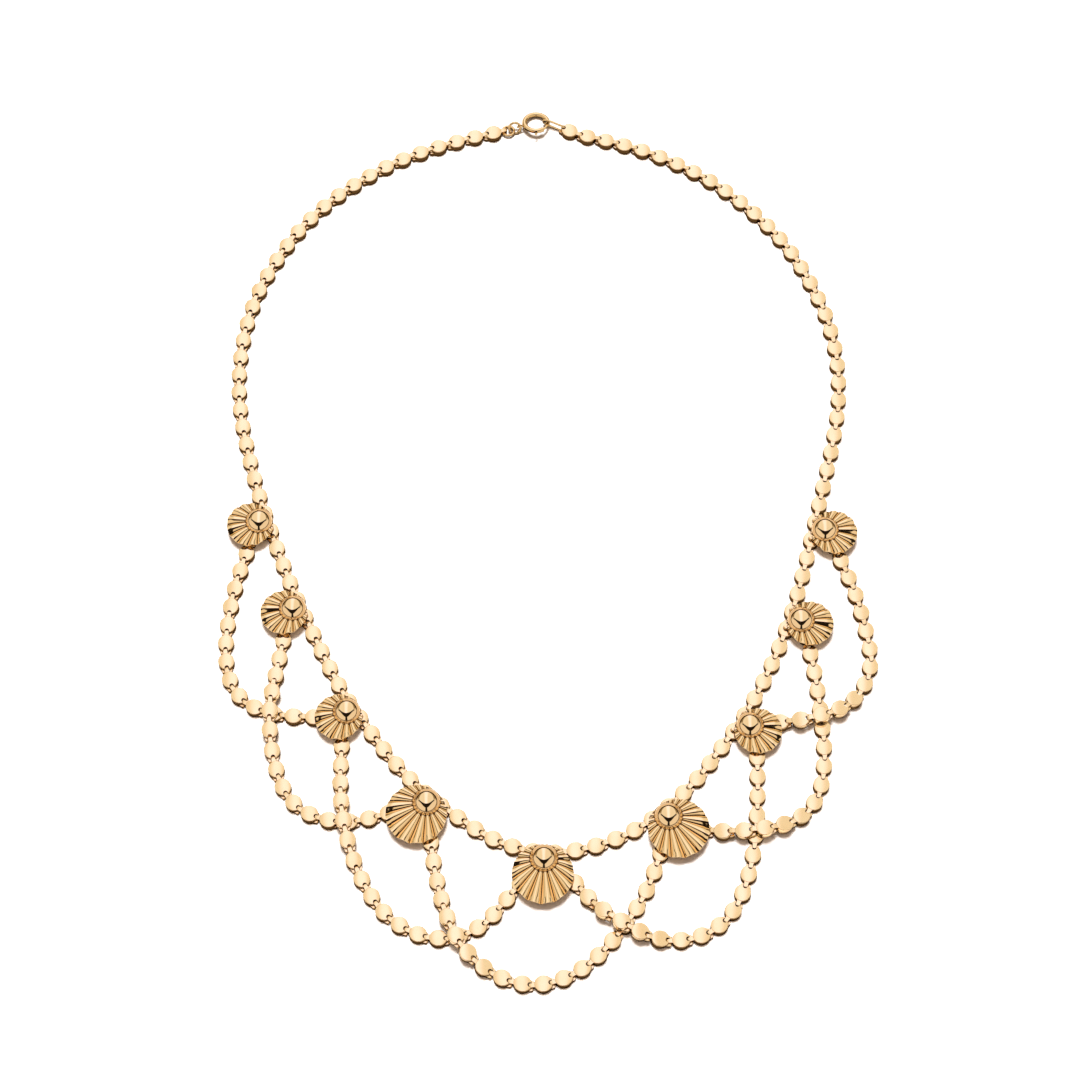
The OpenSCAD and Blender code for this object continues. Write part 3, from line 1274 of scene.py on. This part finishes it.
@dataclass
class EndLoop:
    """The long loop of wire at the chain's other end, placed on the frame's loop."""

    node: str = "end_loop"
    swell: float = 1.4
    steps: int = 20
    sides: int = 14

    def build(self, reader: FrameReader) -> None:
        """Bend the loop and dress it.

        Args:
            reader: Reads the frame.
        """
        points = reader.points(reader.nodes[self.node].data)
        middle = points.mean(axis=0)
        axes = np.linalg.svd(points - middle, full_matrices=False)[2]
        spread = (points - middle) @ axes.T
        middle = middle + (spread.max(axis=0) + spread.min(axis=0)) / 2 @ axes
        long, wide, thick = (spread.max(axis=0) - spread.min(axis=0)) / MM
        wire = thick / 2
        radius = wide / 2 - wire
        run = long - 2 * (radius + wire)
        bpy.ops.mesh.primitive_circle_add(
            vertices=self.sides, radius=wire * self.swell, location=(0, -radius, run / 2),
        )
        loop = fresh("loop")
        with Bench(loop) as bench:
            bench.everything()
            for way in (1, -1):
                bpy.ops.mesh.spin(
                    steps=self.steps, angle=math.pi, center=(0, 0, way * run / 2), axis=(1, 0, 0)
                )
                bench.pull(z=-way * run)
            bench.weld()
        smooth(loop, ROUND_DEGREES)
        long_axis, wide_axis = Vector(axes[0]), Vector(axes[1])
        across = wide_axis.cross(long_axis)
        loop.data.transform(placed(Vector(middle), (across, wide_axis, long_axis)))
        finish_clasp(loop, self.node)


def spun_wire(radius: float, wire: float, sweep: float, steps: int, sides: int) -> Piece:
    """Spin a round profile about Z, from +X, and close both ends.

    Args:
        radius: Middle radius of the ring.
        wire: Radius of the wire.
        sweep: Angle that it covers.
        steps: Steps along it.
        sides: Sides of the wire.

    Returns:
        The wire.
    """
    bpy.ops.mesh.primitive_circle_add(
        vertices=sides, radius=wire, location=(radius, 0, 0), rotation=(math.pi / 2, 0, 0),
        fill_type="NGON",
    )
    piece = fresh("wire")
    with Bench(piece) as bench:
        bench.everything()
        bpy.ops.mesh.spin(steps=steps, angle=sweep, center=(0, 0, 0), axis=(0, 0, 1))
        bench.weld()
    smooth(piece, ROUND_DEGREES)
    return piece


def finish_clasp(piece: Piece, node: str) -> None:
    """Name, dress and seat a piece of the clasp.

    Args:
        piece: The piece.
        node: The node that it stands for.
    """
    piece.name = f"{node}_gold"
    piece.data.name = piece.name
    WIRE_GOLD.dress(piece)
    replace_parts(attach(piece, HOLDER), node)
    LOG.info("%s: %d faces", piece.name, len(piece.data.polygons))


@dataclass(frozen=True)
class Lamp:
    """A soft round lamp over the table, which isn't mirrored in the gold."""

    name: str
    place: Triple
    size: float
    power: float
    color: Triple

    def hang(self) -> None:
        """Hang the lamp, turned to the middle of the table."""
        data = bpy.data.lights.new(self.name, "AREA")
        data.shape = "DISK"
        data.size = self.size
        data.energy = self.power
        data.color = self.color
        hung = bpy.data.objects.new(self.name, data)
        hung.location = self.place
        hung.rotation_euler = (-Vector(self.place)).to_track_quat("-Z", "Y").to_euler()
        hung.visible_glossy = False
        bpy.context.scene.collection.objects.link(hung)


@dataclass(frozen=True)
class Stage:
    """The camera, the table and the lamps."""

    look_at: Triple = (-1.5 * MM, -3.37 * MM, 0.0)
    elevation: float = 64.6
    distance: float = 606.1 * MM
    lens: float = 102.24
    sensor: float = 36.0
    clip: tuple[float, float] = (0.01, 50.0)
    table_side: float = 6.0
    table_roughness: float = 0.8
    table_color: Triple = (0.93, 0.925, 0.92)
    # Painted reflection: the table's colour as the gold mirrors it, by ray length in millimetres,
    # with a painted contact shadow nearest.
    painted_reflection: tuple[tuple[float, Triple], ...] = (
        (2.0, (0.06, 0.04, 0.02)),
        (3.8, (0.85, 0.82, 0.77)),
        (7.0, (0.45, 0.38, 0.3)),
        (16.0, (0.5, 0.43, 0.34)),
    )
    lamps: tuple[Lamp, ...] = (
        Lamp("key", (-0.16, 0.72, 3.92), 1.1, 212.0, (1.0, 0.98, 0.96)),
        Lamp("fill", (-0.2, -0.4, 4.0), 4.6, 90.0, (1.0, 0.74, 0.58)),
    )

    def build(self) -> None:
        """Set the camera, the table, the lamps and the world around them."""
        self.camera()
        self.table()
        for lamp in self.lamps:
            lamp.hang()
        LightPanels().build()
        view = bpy.context.scene.view_settings
        view.view_transform = "Standard"
        view.look = "None"
        LOG.info("stage: %d lamps", len(self.lamps))

    def camera(self) -> None:
        """Set the camera at the portrait's angle."""
        angle = math.radians(self.elevation)
        data = bpy.data.cameras.new("portrait")
        data.lens = self.lens
        data.sensor_width = self.sensor
        data.clip_start, data.clip_end = self.clip
        camera = bpy.data.objects.new("portrait", data)
        offset = Vector((0, -math.cos(angle), math.sin(angle))) * self.distance
        camera.location = Vector(self.look_at) + offset
        camera.rotation_euler = (math.pi / 2 - angle, 0, 0)
        bpy.context.scene.collection.objects.link(camera)
        bpy.context.scene.camera = camera

    def table(self) -> None:
        """Lay the pale table. In a reflection its colour is painted by how near it is: painted
        contact shadow nearest the gold, then pale, then khaki; only the camera sees it pale
        throughout.
        """
        bpy.ops.mesh.primitive_plane_add(size=self.table_side, location=(0, 0, 0))
        table = fresh("table")
        material = bpy.data.materials.new("pale_table")
        material.use_nodes = True
        wiring = Wiring(material.node_tree)
        path = wiring.add("ShaderNodeLightPath", {}).outputs
        farthest = self.painted_reflection[-1][0]
        reach = wiring.add(
            "ShaderNodeMapRange", {"Value": path["Ray Length"], "From Max": farthest * MM}
        )
        painted_reflection = wiring.add("ShaderNodeValToRGB", {"Fac": reach.outputs["Result"]})
        stops = painted_reflection.color_ramp.elements
        while len(stops) < len(self.painted_reflection):
            stops.new(0.5)
        for stop, (away, color) in zip(stops, self.painted_reflection):
            stop.position = away / farthest
            stop.color = (*color, 1)
        tone = wiring.mix(path["Is Camera Ray"], painted_reflection.outputs["Color"], self.table_color)
        wiring.feed(material.node_tree.nodes["Principled BSDF"], {
            "Base Color": tone,
            "Roughness": self.table_roughness,
            "Specular IOR Level": 0.0,
        })
        table.data.materials.append(material)


@dataclass(frozen=True)
class LightPatch:
    """A rounded patch of the studio, in degrees round the X axis and in shares across."""

    turn: float
    half_turn: float
    half_width: float
    roundness: float


class LightPanels:
    """The world: a round panel behind and overhead, a paler tent, and the dark gap between them."""

    PANEL = LightPatch(61.0, 50.0, 0.79, 2.1)
    GAP = LightPatch(65.0, 81.0, 0.9, 1.55)
    GAP_FADES = (52.0, 80.0)
    PATCH_EDGE = (1.07, 0.93)
    CORE_AT = -0.03
    CORE_EDGE = (0.28, 0.05)
    CORE_LIGHT = (1.32, 1.22, 1.4)
    PANEL_LIGHT = (0.96, 0.89, 0.78)
    TENT_SIDE = (0.93, 0.82, 0.7)
    TENT_BACK = (0.3, 0.22, 0.12)
    SIDE_TO_BACK = (100.0, 122.0)
    FOOT_RISE = 6.0
    DOORWAY = (6.0, 10.0)
    TENT_FOOT = (3.0, 9.0)
    REST = (0.016, 0.011, 0.007)
    BACKDROP = Stage.table_color

    def build(self) -> None:
        """Set the world."""
        world = bpy.data.worlds.new("studio")
        bpy.context.scene.world = world
        world.use_nodes = True
        world.cycles_visibility.diffuse = False
        wiring = Wiring(world.node_tree)
        work, mix, step = wiring.math, wiring.mix, wiring.step
        where = wiring.add("ShaderNodeTexCoord", {}).outputs["Generated"]
        x, y, z = wiring.add("ShaderNodeSeparateXYZ", {"Vector": where}).outputs
        across = work("ABSOLUTE", x)
        azimuth = work("DEGREES", work("ARCTAN2", across, work("MULTIPLY", y, -1.0)))
        elevation = work("DEGREES", work("ARCSINE", z))
        turn = work("DEGREES", work("ARCTAN2", z, y))

        side_to_back = step(azimuth, self.SIDE_TO_BACK)
        tent = mix(side_to_back, self.TENT_SIDE, self.TENT_BACK)
        gap = self._patch(wiring, self.GAP, work("MAXIMUM", turn, self.GAP.turn), across)
        gap = work("MULTIPLY", gap, step(turn, self.GAP_FADES))
        above = work("SUBTRACT", elevation, work("MULTIPLY", side_to_back, self.FOOT_RISE))
        lit = work("MULTIPLY", step(gap, (1.0, 0.0)), step(azimuth, self.DOORWAY))
        lit = work("MULTIPLY", lit, step(above, self.TENT_FOOT))
        around = mix(lit, self.REST, tent)

        core = step(work("ABSOLUTE", work("SUBTRACT", x, self.CORE_AT)), self.CORE_EDGE)
        panel = mix(core, self.PANEL_LIGHT, self.CORE_LIGHT)
        color = mix(self._patch(wiring, self.PANEL, turn, across), around, panel)
        seen = wiring.add("ShaderNodeLightPath", {}).outputs["Is Camera Ray"]
        color = mix(seen, color, self.BACKDROP)
        wiring.feed(world.node_tree.nodes["Background"], {"Color": color})

    def _patch(self, wiring: Wiring, patch: LightPatch, turn: Socket, across: Socket) -> Socket:
        """Mask a patch.

        Args:
            wiring: The world's nodes.
            patch: Its place and form.
            turn: The direction's turn round the X axis.
            across: Its distance from the middle.

        Returns:
            The mask.
        """
        work = wiring.math
        lean = work("DIVIDE", work("SUBTRACT", turn, patch.turn), patch.half_turn)
        wide = work("DIVIDE", across, patch.half_width)
        lean = work("POWER", work("ABSOLUTE", lean), patch.roundness)
        wide = work("POWER", wide, patch.roundness)
        return wiring.step(work("ADD", lean, wide), self.PATCH_EDGE)


def main() -> None:
    """Build the necklace in order, from the stage to the clasp."""
    logging.basicConfig(level=logging.INFO, format="%(name)s: %(message)s")
    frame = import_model()
    nodes = frame["nodes"]
    Stage().build()
    reader = FrameReader(nodes)
    chains = Festoonery(reader)
    pattern = chains.link.pattern()
    chains.build(pattern)
    RosetteRow(reader, chains, pattern).build()
    discard(pattern)
    for name in ("clasp_jump_ring_1", "clasp_jump_ring_2"):
        WireRing(name).build(reader)
    EndLoop().build(reader)
    for name in ("spring_ring", "spring_bolt"):
        WIRE_GOLD.dress(nodes[name])
        LOG.info("%s: dressed", name)
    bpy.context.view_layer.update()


if __name__ == "__main__":
    main()
